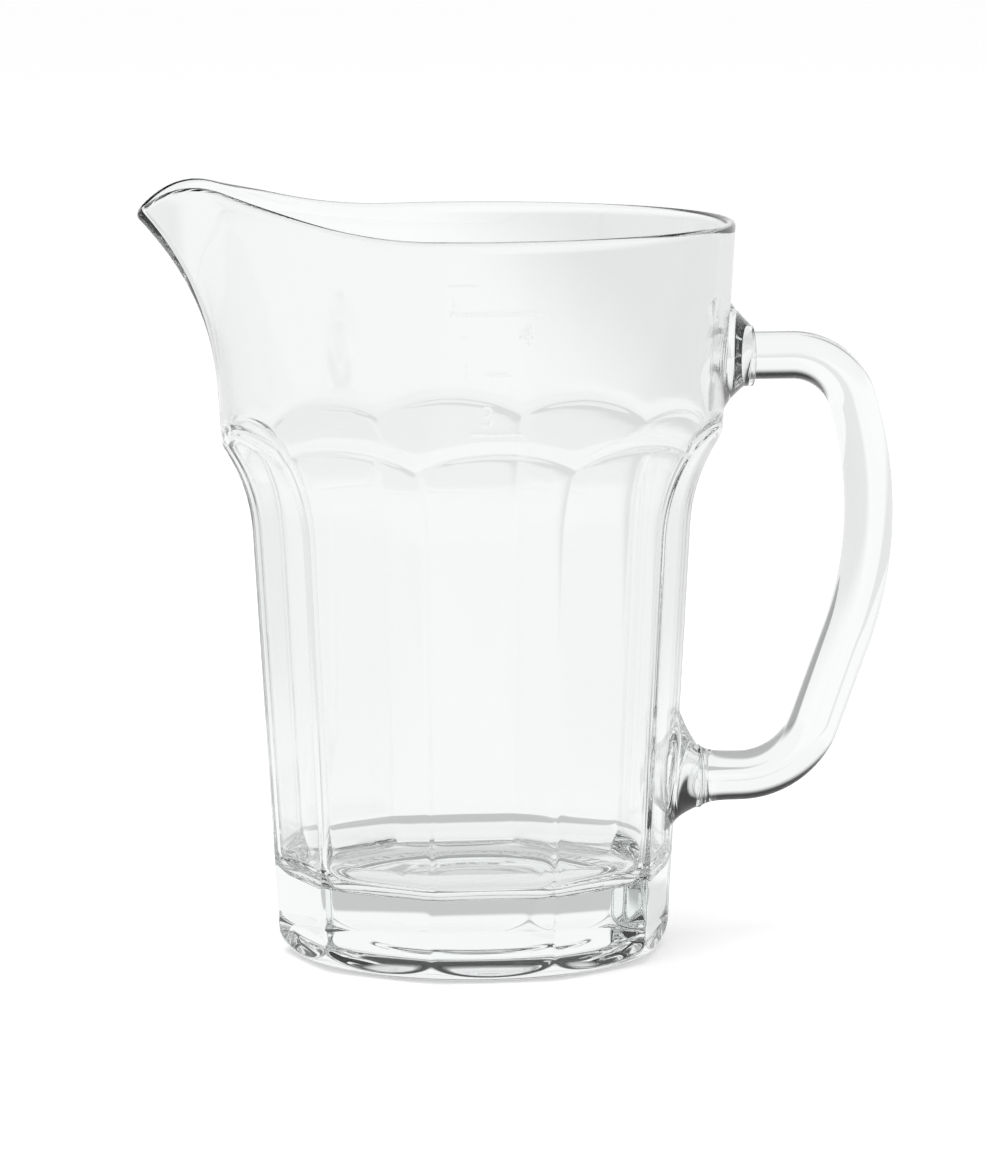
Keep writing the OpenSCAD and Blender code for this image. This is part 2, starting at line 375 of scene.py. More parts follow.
@dataclass
class PitcherBody:
    """The pressed vessel: foot, ten panels, round upper wall, spout, rim and two bosses."""

    rim_height: float = 216.0
    rim_radius: float = 77.5
    shoulder_height: float = 156.0
    shoulder_radius: float = 73.8
    wall: float = 2.8
    floor_height: float = 23.5
    floor_corner: float = 9.0
    panels: int = 10
    panel_low_radius: float = 55.0
    panel_bend_radius: float = 61.9
    panel_bend_height: float = 126.0
    foot_radius: float = 59.0
    foot_edge: float = 9.8
    ring_inner: float = 43.8
    hollow_depth: float = 5.4
    hollow_edge: float = 38.0
    hollow_curve: float = 2.0
    gate_radius: float = 21.0
    gate_depth: float = 0.8
    stipples: int = 60
    stipple_depth: float = 0.45
    spout_reach: float = 98.2
    spout_side_angle: float = 48.8
    nose_width: float = 4.1
    spout_low: float = 165.0
    draw_power: float = 2.3
    draw_limit: float = 1.1
    nose_round: float = 1.6
    nose_spread: float = 7.0
    mouth_blend: float = 3.0
    peak_height: float = 227.7
    peak_x: float = 80.5
    peak_curve: float = 17.0
    climb: float = 15.3
    fall: float = 40.0
    sweep: float = 130.0
    ridge_round: float = 0.008
    inner_ridge_round: float = 0.026
    arch_round: float = 0.7
    inner_arch_round: float = 2.0
    foot_round: float = 0.8
    tip_thinning: float = 0.5
    arch_reach: float = 3.0
    # How finely the skin is divided and its curves are solved
    rim_repeats: int = 20
    wall_repeats: int = 12
    column_steps: Steps = (0, 0.2, 0.45, 0.8, 1.25, 1.8, 2.5, 3.4, 4.5, 5.7, 7.0, 8.4, 9.8,
                           11.2, 12.6, 14.0, 15.3, 16.6)
    close_steps: Steps = (0.15, 0.35, 0.6, 0.95, 1.5, 2.4)
    last_step: float = 4.0
    gate_shares: Steps = (0.3, 0.6, 0.9)
    gate_edge: tuple[tuple[float, float], ...] = ((-0.8, 0.95), (0.0, 0.5), (0.8, 0.05),
                                                  (1.6, 0.0))
    hollow_shares: Steps = (0.35, 0.7)
    hollow_turns: Steps = (0, 12, 24, 35, 45, 55, 64, 72, 80, 86)
    stand_shares: Steps = (0.08, 0.2, 0.35, 0.5, 0.65, 0.8, 0.92, 1.0)
    foot_shares: Steps = (0.06, 0.14, 0.24, 0.35, 0.47, 0.59, 0.7, 0.8, 0.88, 0.94, 0.98, 1.0)
    floor_shares: Steps = (0.93, 0.82, 0.68, 0.52, 0.36, 0.22, 0.1)
    outer_rows: tuple[int, int, int] = (10, 13, 26)
    inner_rows: tuple[int, int, int] = (24, 18, 9)

    def __post_init__(self) -> None:
        """Work out the slopes and arcs that several surfaces share."""
        self.wall_lean = ((self.rim_radius - self.shoulder_radius)
                          / (self.rim_height - self.shoulder_height))
        panel_lean = (self.panel_bend_radius - self.panel_low_radius) / self.panel_bend_height
        self.panel_cove = Cove((self.panel_bend_radius, self.panel_bend_height),
                               (self.shoulder_radius, self.shoulder_height), panel_lean)
        climb, fall = math.radians(self.climb), math.radians(self.fall)
        self.peak_z = self.peak_height - self.peak_curve
        self.climb_end = self.peak_x - self.peak_curve * math.sin(climb)
        top = self.peak_z + self.peak_curve * math.cos(climb)
        self.climb_foot = self.climb_end - (top - self.rim_height) / math.tan(climb)
        self.sweep_x = self.climb_foot - self.sweep * math.tan(climb / 2)
        self.fall_start = self.peak_x + self.peak_curve * math.sin(fall)
        self.fall_z = self.peak_z + self.peak_curve * math.cos(fall)
        cut = self.nose_width / 2 / math.tan(math.radians(self.spout_side_angle))
        self.side_distance = (self.spout_reach + cut) * math.sin(math.radians(
            self.spout_side_angle))
        self.mouth_radius = float(self.wall_radius(np.array(self.peak_height)))

    def wall_radius(self, z: Grid) -> Grid:
        """Outer radius of the round wall at height z."""
        return self.shoulder_radius + self.wall_lean * (z - self.shoulder_height)

    def panel_radius(self, turn: Grid, z: Grid, inset: float = 0.0) -> Grid:
        """Distance from the axis to the panels, with their ridges rounded.

        Args:
            turn: Angles round the axis.
            z: Heights.
            inset: Distance by which the panels are moved in: 0 for the outside.

        Returns:
            The distance at each angle and height.
        """
        step = 2 * math.pi / self.panels
        off = np.mod(turn, step) - step / 2
        near, far = np.cos(off), np.cos(step - np.abs(off))
        soft = self.inner_ridge_round if inset else self.ridge_round
        reach = (near + far + np.sqrt((near - far) ** 2 + soft**2)) / 2
        return self.panel_cove.at(z, inset) / reach

    def beak_reach(self, turn: Grid, inset: float, blend: Any) -> Grid:
        """How far the spout's mouth reaches past the round wall, at the height of the rim.

        Args:
            turn: Angles round the axis.
            inset: Distance by which the mouth is moved in.
            blend: Width over which its nose and sides are rounded into each other.

        Returns:
            The reach at each angle, running out smoothly beside the mouth.
        """
        off = np.abs(np.mod(turn, 2 * math.pi) - math.pi)
        side = math.radians(90 - self.spout_side_angle)
        nose = (self.spout_reach - inset) / np.clip(np.cos(off), 0.2, None)
        flank = (self.side_distance - inset) / np.cos(np.clip(side - off, 0.0, None))
        mouth = smooth_min(nose, flank, blend)
        return smooth_max(mouth - (self.mouth_radius - inset), 0 * mouth, self.mouth_blend)

    def skin_radius(self, shell: Grid, turn: Grid, z: Grid, inset: float) -> Grid:
        """Radius of the outer or inner skin: the given shell with the spout drawn out of it."""
        rim = self.rim_inner if inset else self.rim_outer
        share = np.clip((z - self.spout_low) / (rim(turn) - self.spout_low), 0.0,
                        self.draw_limit)
        blend = self.nose_round + self.nose_spread * np.clip(1 - share, 0.0, 1.0)
        return shell + self.beak_reach(turn, inset, blend) * share**self.draw_power

    def outer_radius(self, turn: Grid, z: Grid) -> Grid:
        """Outer radius of panels, round wall and spout."""
        shell = smooth_min(self.panel_radius(turn, z), self.wall_radius(z), self.arch_round)
        return self.skin_radius(shell, turn, z, 0.0)

    def inner_radius(self, turn: Grid, z: Grid) -> Grid:
        """Radius of the hollow inside, which has the panels too."""
        shell = smooth_min(self.panel_radius(turn, z, self.wall),
                           self.wall_radius(z) - self.wall, self.inner_arch_round)
        return self.skin_radius(shell, turn, z, self.wall)

    def rim_outer(self, turn: Grid) -> Grid:
        """Height of the rim along its outer edge."""
        return self.rim_height_at(turn, 0.0)

    def rim_inner(self, turn: Grid) -> Grid:
        """Height of the rim along its inner edge."""
        return self.rim_height_at(turn, self.wall)

    def rim_height_at(self, turn: Grid, inset: float) -> Grid:
        """Height of the rim along a skin, found by repeated steps."""
        z = np.full_like(turn, self.rim_height)
        reach = self.beak_reach(turn, inset, self.nose_round)
        for _ in range(self.rim_repeats):
            z = self.rim_at(-(self.wall_radius(z) - inset + reach) * np.cos(turn))
        return z

    def rim_at(self, u: Grid) -> Grid:
        """Height of the rim at a distance u from the axis towards the spout."""
        sweep_end = self.sweep_x + self.sweep * math.sin(math.radians(self.climb))
        inside = np.clip(u - self.sweep_x, 0.0, sweep_end - self.sweep_x)
        swept = self.rim_height + self.sweep - np.sqrt(self.sweep**2 - inside**2)
        climb = self.rim_height + (u - self.climb_foot) * math.tan(math.radians(self.climb))
        over = np.clip(u - self.peak_x, -self.peak_curve, self.peak_curve)
        peak = self.peak_z + np.sqrt(self.peak_curve**2 - over**2)
        drop = self.fall_z - (u - self.fall_start) * math.tan(math.radians(self.fall))
        return np.select([u < sweep_end, u < self.climb_end, u < self.fall_start],
                         [swept, climb, peak], drop)

    def columns(self) -> Grid:
        """Angles of the mesh's columns, closer together beside each ridge."""
        step = 360 / self.panels
        half = list(self.column_steps)
        other = [step - s for s in half[:0:-1]]
        one = half + [step / 2] + other
        return np.radians([k * step + s for k in range(self.panels) for s in one])

    def underside(self, turn: Grid) -> list[Grid]:
        """Rings under the floor: gate disc, hollow, and the stippled ring that it stands on."""
        deep, gate = self.hollow_depth, self.gate_radius
        profile = [(gate * s, deep + self.gate_depth) for s in self.gate_shares]
        profile += [(gate + o, deep + self.gate_depth * s)
                    for o, s in self.gate_edge]
        span = self.ring_inner - self.hollow_edge
        profile += [(gate + s * (self.hollow_edge - gate), deep) for s in self.hollow_shares]
        profile += [(self.hollow_edge + span * math.sin(a),
                     deep * math.cos(a) ** self.hollow_curve)
                    for a in np.radians(self.hollow_turns)]
        rings = [self.ring(turn, r, z) for r, z in profile]
        flat_out = self.foot_radius - self.foot_edge
        for share in self.stand_shares:
            r = self.ring_inner + share * (flat_out - self.ring_inner)
            swell = math.sin(math.pi * share) ** 0.5 if share < 1 else 0.0
            notch = (0.5 + 0.5 * np.cos(self.stipples * turn)) ** 2
            rings.append(self.ring(turn, r, self.stipple_depth * swell * notch))
        return rings

    @staticmethod
    def ring(turn: Grid, radius: Grid | float, z: Grid | float) -> Grid:
        """Points of one ring."""
        return np.stack([radius * np.cos(turn), radius * np.sin(turn), z + 0 * turn], axis=1)

    def outside(self, turn: Grid) -> list[Grid]:
        """Rings up the outside, from the foot's edge to just below the rim."""
        flat_out, edge = self.foot_radius - self.foot_edge, self.foot_edge

        def foot_point(angle: Grid) -> tuple[Grid, Grid]:
            return flat_out + edge * np.cos(angle), edge + edge * np.sin(angle)

        def past_foot(angle: Grid) -> Grid:
            radius, z = foot_point(angle)
            return radius > self.panel_radius(turn, z)

        quarter = math.pi / 2
        foot = crossing(np.full_like(turn, -quarter), np.full_like(turn, 0.0), past_foot)
        rings = []
        for share in self.foot_shares:
            radius, z = foot_point(-quarter + share * (foot + quarter))
            rings.append((smooth_min(radius, self.panel_radius(turn, z), self.foot_round), z))
        z_foot = rings[-1][1]

        def foot_radius(z: Grid) -> Grid:
            rise = np.clip(edge - z, 0.0, edge)
            return flat_out + np.sqrt(edge**2 - rise**2)

        steps = (*self.close_steps, self.last_step)
        for step in steps:
            z = z_foot + step
            rings.append((smooth_min(foot_radius(z), self.panel_radius(turn, z),
                                     self.foot_round), z))
        z_low = rings[-1][1]
        bend = np.full_like(turn, self.panel_bend_height)
        arch = crossing(bend, np.full_like(turn, self.shoulder_height + self.arch_reach),
                        lambda z: self.panel_radius(turn, z) > self.wall_radius(z))
        panel_rows, bend_rows, wall_rows = self.outer_rows
        heights = [z_low + s * (bend - z_low) for s in np.linspace(0, 1, panel_rows)[1:]]
        near_arch = [arch - s for s in self.close_steps[::-1]]
        heights += [bend + s * (near_arch[0] - bend)
                    for s in np.linspace(0, 1, bend_rows)[1:-1]]
        heights += near_arch + [arch] + [arch + s for s in steps]
        top = self.rim_outer(turn) - self.lip_drop(turn)
        last = heights[-1]
        heights += [last + s * (top - last) for s in np.linspace(0, 1, wall_rows)[1:]]
        rings += [(self.outer_radius(turn, z), z) for z in heights]
        return [self.ring(turn, radius, z) for radius, z in rings]

    def lip_drop(self, turn: Grid) -> Grid:
        """Depth below the rim at which the lip's rounding starts, less at the spout's tip."""
        reach = self.beak_reach(turn, 0.0, self.nose_round)
        return self.wall / 2 * (1 - self.tip_thinning * reach / reach.max())

    @staticmethod
    def rim(turn: Grid, outer: Grid, inner: Grid) -> list[Grid]:
        """Rings over the fire-polished rim, between the last outer and the first inner ring."""
        out = np.stack([np.cos(turn), np.sin(turn), 0 * turn], axis=1)
        middle, half = (outer + inner) / 2, (outer - inner) / 2
        across = (half * out).sum(axis=1)
        lift = -half[:, 2:3] * out
        lift[:, 2] += across
        return [middle + half * math.cos(a) + lift * math.sin(a)
                for a in np.radians(range(18, 180, 18))]

    def inside(self, turn: Grid) -> list[Grid]:
        """Rings down the inside, from just below the rim to the middle of the floor."""
        top = self.rim_inner(turn) - self.lip_drop(turn)
        corner = self.floor_height + self.floor_corner
        heights, last = [top], top
        for end, rows in zip((self.spout_low, self.panel_bend_height, corner),
                             self.inner_rows):
            heights += [last + s * (end - last) for s in np.linspace(0, 1, rows)[1:]]
            last = end + 0 * turn
        rings = [self.ring(turn, self.inner_radius(turn, z), z) for z in heights]
        flat = self.inner_radius(turn, last) - self.floor_corner
        for a in np.radians(range(9, 91, 9)):
            rings.append(self.ring(turn, flat + self.floor_corner * math.cos(a),
                                   last - self.floor_corner * math.sin(a)))
        for share in self.floor_shares:
            rings.append(self.ring(turn, share * (share * flat + (1 - share) * flat.min()),
                                   self.floor_height))
        return rings

    def vessel(self) -> Piece:
        """Build the vessel without its bosses, as one closed skin."""
        turn = self.columns()
        under, outside, inside = self.underside(turn), self.outside(turn), self.inside(turn)
        rings = under + outside + self.rim(turn, outside[-1], inside[0]) + inside
        points, faces = closed_rings(rings)
        return make_mesh("pitcher_body", points, faces)

    def wall_x(self, y: Grid, z: Grid) -> Grid:
        """X of the outer wall on the handle's side, at y and z."""
        x = np.full_like(y, self.panel_bend_radius)
        for _ in range(self.wall_repeats):
            radius = self.outer_radius(np.mod(np.arctan2(y, x), 2 * math.pi), z)
            x = np.sqrt(np.clip(radius**2 - y**2, 1.0, None))
        return x

    def build(self, bosses: list["Boss"]) -> Piece:
        """Build the whole body, with the bosses that the handle joins."""
        body = self.vessel()
        for boss in bosses:
            fuse(body, boss.build(self))
        soft_shade(body)
        return body


@dataclass
class Boss:
    """Boss on the wall with a shallow seat for one end of the handle.

    It flares out to the wall. The flare's neck, reach and curve are given at its lowest and at its
    highest point, and run from one to the other round its sides.
    """

    name: str
    end_x: float
    height: float
    end_radius: float
    necks: tuple[float, float]
    spreads: tuple[float, float]
    curves: tuple[float, float]
    seat_radius: float = 7.42
    seat_depth: float = 1.6
    edge: float = 0.45
    sink: float = 0.35
    overlap: float = 1.5
    seat_rings: Steps = (2.5, 5.0)
    neck_shares: Steps = (0.35, 0.7, 1.0)
    flare_end: float = 1.12
    flare_rows: int = 29
    fade_start: float = 0.78
    fade_run: float = 0.3
    back_rings: Steps = (8.0, 5.0, 2.0)
    sides: int = 120

    def build(self, body: PitcherBody) -> Piece:
        """Build the boss as a closed skin whose back lies inside the wall of the body."""
        around = np.linspace(0, 2 * math.pi, self.sides, endpoint=False)
        y_dir, z_dir = np.cos(around), np.sin(around)
        high = (1 + z_dir) / 2
        high = high * high * (3 - 2 * high)

        def mixed(pair: tuple[float, float]) -> Grid:
            return pair[0] + (pair[1] - pair[0]) * high

        def ring(radius: Grid | float, x: Grid | float) -> Grid:
            y, z = radius * y_dir, self.height + radius * z_dir
            return np.stack([np.broadcast_to(x, y.shape), y, z], axis=1)

        def on_wall(radius: Grid | float) -> Grid:
            return body.wall_x(radius * y_dir, self.height + radius * z_dir)

        seat, end, depth = self.seat_radius, self.end_radius, self.seat_depth
        rings = [ring(r, self.end_x - d) for r, d in (
            *((r, depth) for r in self.seat_rings), (seat - 0.15, depth), (seat, depth - 0.12),
            (seat, 0.2), (seat + 0.08, 0.06), (seat + 0.22, 0.0), (end - 0.5, 0.0),
            (end - 0.2, 0.06), (end - 0.04, 0.22), (end, self.edge))]
        neck = mixed(self.necks)
        for share in self.neck_shares:
            rings.append(ring(end, self.end_x - self.edge - share * neck))
        spread, curve = mixed(self.spreads), mixed(self.curves)
        lift = self.end_x - self.edge - neck - on_wall(end)
        for share in np.linspace(0, self.flare_end, self.flare_rows)[1:]:
            radius = end + share * (spread - end)
            fade = np.clip((share - self.fade_start) / self.fade_run, 0.0, 1.0)
            rise = lift * np.clip(1 - share, 0.0, 1.0) ** curve - self.sink * fade * fade
            rings.append(ring(radius, on_wall(radius) + rise))
        for radius in (spread * 1.02, spread * 0.8, *self.back_rings):
            rings.append(ring(radius, on_wall(radius) - self.overlap))
        points, faces = closed_rings(rings)
        return make_mesh(self.name, points, [f[::-1] for f in faces])


# ---- handle


@dataclass
class Handle:
    """Round glass bar bent into a handle, its ends set in the bosses' seats."""

    top_start: float = 83.2
    low_start: float = 67.2
    seat_depth: float = 1.55
    bar_radius: float = 7.3
    radius_knots: tuple[tuple[float, float], ...] = (
        (0.0, 7.1), (0.25, 7.1), (0.45, 7.25), (0.72, 7.65), (0.86, 7.45), (1.0, 7.3))
    start_steps: Steps = (0.0, 0.12, 0.4, 1.0, 1.7, 2.6, 4.5, 7.0, 10.0)
    end_steps: Steps = (10.0, 8.0, 6.4, 5.2, 4.2, 3.4, 2.7, 2.2, 1.85, 1.62, 1.58, 1.3, 0.4,
                        0.12, 0.0)
    arc_points: tuple[int, int, int] = (34, 46, 36)
    softened_over: int = 6
    back_limit: float = 125.25
    edge_drop: float = 0.3
    edge_run: float = 0.4
    foot_flare: float = 2.2
    flare_run: float = 2.4
    seat_play: float = 0.02
    top_height: float = 175.3
    low_height: float = 50.0
    reach: float = 118.0
    belly: float = 129.0
    back_bend: float = 110.0
    upper_lean: float = 15.0
    lower_lean: float = 20.2
    top_bend: float = 19.0
    low_bend: float = 24.0
    sides: int = 96

    def centre_line(self) -> Grid:
        """Points (x, z) of the bar's centre line from the upper boss to the lower one."""
        def way(angle: float) -> Grid:
            return np.array([math.cos(angle), math.sin(angle)])

        def arc(centre: Grid, radius: float, start: float, end: float, count: int) -> list[Grid]:
            return [centre + radius * way(a) for a in np.linspace(start, end, count)]

        up, down = math.radians(self.upper_lean), math.radians(self.lower_lean)
        back = np.array([self.reach - self.back_bend, self.belly])
        top, low = back + self.back_bend * way(up), back + self.back_bend * way(-down)
        upper = (self.top_height - self.top_bend * (1 - math.sin(up)) - top[1]) / math.cos(up)
        lower = (low[1] - self.low_bend * (1 - math.sin(down)) - self.low_height) / math.cos(down)
        top_c = (top + upper * np.array([-math.sin(up), math.cos(up)])
                 - self.top_bend * way(up))
        low_c = (low - lower * np.array([math.sin(down), math.cos(down)])
                 - self.low_bend * way(-down))
        quarter = math.pi / 2
        start_x, end_x = self.top_start - self.seat_depth, self.low_start - self.seat_depth
        at_top, at_back, at_low = self.arc_points
        line = [np.array([start_x + s, self.top_height]) for s in self.start_steps]
        line += arc(top_c, self.top_bend, quarter, up, at_top)
        line += arc(back, self.back_bend, up, -down, at_back)
        line += [low + s * (low_c + self.low_bend * way(-down) - low) for s in (0.25, 0.5, 0.75)]
        line += arc(low_c, self.low_bend, -down, -quarter, at_low)
        line += [np.array([end_x + s, self.low_height]) for s in self.end_steps]
        return np.array(line)

    def radii(self, line: Grid) -> Grid:
        """Radius of the bar at each point of the line.

        Args:
            line: Points of the centre line.

        Returns:
            One radius for each point: slim above, stout where the handle leans in below, with a
            small flare where it meets the lower boss and eased edges on both end faces.
        """
        run = np.concatenate([[0.0], np.cumsum(np.linalg.norm(np.diff(line, axis=0), axis=1))])
        total = run[-1]
        shares, sizes = np.array(self.radius_knots).T
        radius = np.interp(run, shares * total, sizes)
        near = self.softened_over
        soft = np.array([np.mean(radius[max(i - near, 0):i + near + 1])
                         for i in range(len(radius))])
        radius = np.minimum(soft, self.back_limit - line[:, 0])
        from_end = total - run
        out = from_end - self.seat_depth
        flare = self.foot_flare * np.exp(-np.clip(out, 0, None) / self.flare_run)
        radius = np.where(out > self.seat_play, radius + flare,
                          np.minimum(radius, self.bar_radius))
        ease = np.minimum(run, from_end)
        return radius - self.edge_drop * np.clip(1 - ease / self.edge_run, 0, 1) ** 2

    def sweep_nodes(self) -> Tree:
        """Node tree that sweeps a circle along the line, with the bar's radius as the size."""
        tree, given = piece_tree("round_bar", {"Sides": "Int", "Glass": "Material"})
        size = add_node(tree, "GeometryNodeInputNamedAttribute", {"Name": "bar_radius"},
                        data_type="FLOAT")
        path = add_node(tree, "GeometryNodeMeshToCurve", {"Mesh": given["Geometry"]})
        circle = add_node(tree, "GeometryNodeCurvePrimitiveCircle",
                          {"Resolution": given["Sides"], "Radius": 1.0})
        bar = add_node(tree, "GeometryNodeCurveToMesh",
                       {"Curve": path.outputs["Curve"], "Profile Curve": circle.outputs["Curve"],
                        "Scale": size.outputs["Attribute"], "Fill Caps": True})
        real = add_node(tree, "GeometryNodeRealizeInstances", {0: bar.outputs["Mesh"]})
        end_tree(tree, real.outputs[0], given["Glass"])
        return tree

    def build(self, glass: bpy.types.Material) -> Piece:
        """Build the handle as a plain mesh that carries the rod's material."""
        line = self.centre_line()
        points = np.stack([line[:, 0], np.zeros(len(line)), line[:, 1]], axis=1) * MM
        mesh = bpy.data.meshes.new("pitcher_handle")
        mesh.from_pydata(points.tolist(), [(i, i + 1) for i in range(len(points) - 1)], [])
        sizes = mesh.attributes.new("bar_radius", "FLOAT", "POINT")
        sizes.data.foreach_set("value", self.radii(line) * MM)
        piece = show(mesh.name, mesh)
        apply_nodes(piece, self.sweep_nodes(), {"Sides": self.sides, "Glass": glass})
        soft_shade(piece)
        return piece


def piece_tree(name: str, inputs: dict[str, str]) -> tuple[Tree, Any]:
    """Start a geometry node tree; give it and the sockets that its inputs come in by."""
    tree = bpy.data.node_groups.new(name, "GeometryNodeTree")
    for socket, kind in ({"Geometry": "Geometry"} | inputs).items():
        tree.interface.new_socket(socket, in_out="INPUT", socket_type="NodeSocket" + kind)
    tree.interface.new_socket("Geometry", in_out="OUTPUT", socket_type="NodeSocketGeometry")
    return tree, add_node(tree, "NodeGroupInput").outputs


def end_tree(tree: Tree, shape: Socket, finish: Socket) -> None:
    """Give a tree's shape its material and pass it on as the result."""
    dressed = add_node(tree, "GeometryNodeSetMaterial", {"Geometry": shape, "Material": finish})
    add_node(tree, "NodeGroupOutput", {"Geometry": dressed.outputs["Geometry"]})


def apply_nodes(piece: Piece, tree: Tree, values: dict[str, Any]) -> None:
    """Run a node tree with its named values on a piece and keep the result as its mesh."""
    step = piece.modifiers.new(tree.name, "NODES")
    step.node_group = tree
    for socket in tree.interface.items_tree:
        if socket.item_type == "SOCKET" and socket.in_out == "INPUT" and socket.name in values:
            step[socket.identifier] = values[socket.name]
    flatten_modifiers(piece)


# ---- measure print


@dataclass
class MeasurePrint:
    """Measure lines and plain numbers on the round wall, half way from handle to spout."""

    top_height: float = 195.5
    spacing: float = 17.15
    lines: int = 3
    long_length: float = 27.0
    low_length: float = 15.0
    short_length: float = 7.0
    width: float = 1.0
    thickness: float = 0.16
    lift: float = 0.03
    cuts: tuple[int, int] = (40, 4)
    number_size: float = 6.4
    size_share: float = 1.4
    numbers: tuple[tuple[str, float, float], ...] = (("4", 6.0, 186.6), ("3", -5.0, 163.4))

    def line_nodes(self) -> Tree:
        """Node tree that repeats a flat bar down the wall and wraps the bars round it."""
        sizes = ("Top Height", "Spacing", "Long Length", "Low Length", "Short Length", "Width",
                 "Thickness", "Wall Radius", "Wall Lean")
        tree, given = piece_tree("measure_lines", {
            "Lines": "Int", **dict.fromkeys(sizes, "Float"), "Print": "Material"})
        step = maths(tree, Op.MULTIPLY, given["Spacing"], -1.0)
        rows = add_node(tree, "GeometryNodeMeshLine",
                        {"Count": given["Lines"],
                         "Start Location": vector(tree, Z=given["Top Height"]),
                         "Offset": vector(tree, Z=step)})
        index = add_node(tree, "GeometryNodeInputIndex").outputs[0]
        share = add_node(tree, "ShaderNodeMapRange",
                         {"Value": index, "From Min": 0.0, "From Max": self.lines - 1.0,
                          "To Min": given["Long Length"], "To Max": given["Low Length"]})
        length = add_node(tree, "ShaderNodeMix",
                          {"Factor": maths(tree, Op.MODULO, index, 2.0),
                           2: share.outputs["Result"], 3: given["Short Length"]},
                          data_type="FLOAT")
        size = vector(tree, X=length.outputs[0], Y=given["Thickness"], Z=given["Width"])
        bar = add_node(tree, "GeometryNodeMeshCube",
                       {"Size": (1.0, 1.0, 1.0), "Vertices X": self.cuts[0],
                        "Vertices Z": self.cuts[1]})
        placed = add_node(tree, "GeometryNodeInstanceOnPoints",
                          {"Points": rows.outputs["Mesh"], "Instance": bar.outputs["Mesh"],
                           "Scale": size})
        real = add_node(tree, "GeometryNodeRealizeInstances", {0: placed.outputs[0]})
        where = add_node(tree, "GeometryNodeInputPosition").outputs[0]
        part = add_node(tree, "ShaderNodeSeparateXYZ", {0: where}).outputs
        rise = maths(tree, Op.SUBTRACT, part["Z"], given["Top Height"])
        wall = maths(tree, Op.MULTIPLY_ADD, rise, given["Wall Lean"], given["Wall Radius"])
        turn = maths(tree, Op.DIVIDE, part["X"], wall)
        out = maths(tree, Op.ADD, wall, part["Y"])
        x = maths(tree, Op.MULTIPLY, out, maths(tree, Op.SINE, turn))
        y = maths(tree, Op.MULTIPLY, out, maths(tree, Op.COSINE, turn))
        spot = vector(tree, X=x, Y=maths(tree, Op.MULTIPLY, y, -1.0), Z=part["Z"])
        wrapped = add_node(tree, "GeometryNodeSetPosition",
                           {"Geometry": real.outputs[0], "Position": spot})
        end_tree(tree, wrapped.outputs[0], given["Print"])
        return tree

    def build_lines(self, body: PitcherBody, ink: bpy.types.Material) -> Piece:
        """Build the measure lines.

        Args:
            body: Vessel whose round wall carries the print.
            ink: Material of the print.

        Returns:
            The lines as one plain mesh.
        """
        piece = show("measure_lines", bpy.data.meshes.new("measure_lines"))
        radius = float(body.wall_radius(np.array(self.top_height)))
        sizes = {"Top Height": self.top_height, "Spacing": self.spacing,
                 "Long Length": self.long_length, "Low Length": self.low_length,
                 "Short Length": self.short_length, "Width": self.width,
                 "Thickness": self.thickness,
                 "Wall Radius": radius + self.lift + self.thickness / 2}
        apply_nodes(piece, self.line_nodes(), {
            "Lines": self.lines, **{name: size * MM for name, size in sizes.items()},
            "Wall Lean": body.wall_lean, "Print": ink})
        outward(piece.data)
        return piece

    def build_number(self, body: PitcherBody, digit: str, along: float, foot: float,
                     ink: bpy.types.Material) -> Piece:
        """Build one number, wrapped round the wall.

        Args:
            body: Vessel whose round wall carries the print.
            digit: The number's text.
            along: Distance of its left side from the middle of the lines.
            foot: Height of its foot.
            ink: Material of the print.

        Returns:
            The number as a plain mesh.
        """
        curve = bpy.data.curves.new("measure_number_" + digit, "FONT")
        curve.body = digit
        curve.size = self.number_size * self.size_share
        curve.extrude = self.thickness / 2
        curve.resolution_u = 8
        flat = flatten_modifiers(show(curve.name, curve))
        spots = np.array([v.co[:] for v in flat.data.vertices])
        z = foot + spots[:, 1]
        wall = body.wall_radius(z)
        turn = (along + spots[:, 0]) / wall
        out = wall + self.lift + self.thickness / 2 + spots[:, 2]
        spots = np.stack([out * np.sin(turn), -out * np.cos(turn), z], axis=1) * MM
        flat.data.vertices.foreach_set("co", spots.ravel())
        flat.data.materials.clear()
        flat.data.materials.append(ink)
        outward(flat.data)
        return flat


def outward(mesh: bpy.types.Mesh) -> None:
    """Merge a mesh's doubles and turn its faces outwards."""
    work = bmesh.new()
    work.from_mesh(mesh)
    bmesh.ops.remove_doubles(work, verts=work.verts, dist=WELD)
    bmesh.ops.recalc_face_normals(work, faces=work.faces)
    work.to_mesh(mesh)
    work.free()
    mesh.update()


# ---- studio


@dataclass(frozen=True)
class PaintedFloorShade:
    """Soft oval of painted shade on the floor, seen only in reflections and through glass: its
    place, turn, half lengths, level.
    """

    x: float
    y: float
    turn: float
    long: float
    short: float
    level: float


@dataclass(frozen=True)
class SoftLamp:
    """Square lamp aimed at the pitcher, not seen in the glass."""

    name: str
    place: tuple[float, float, float]
    size: float
    power: float


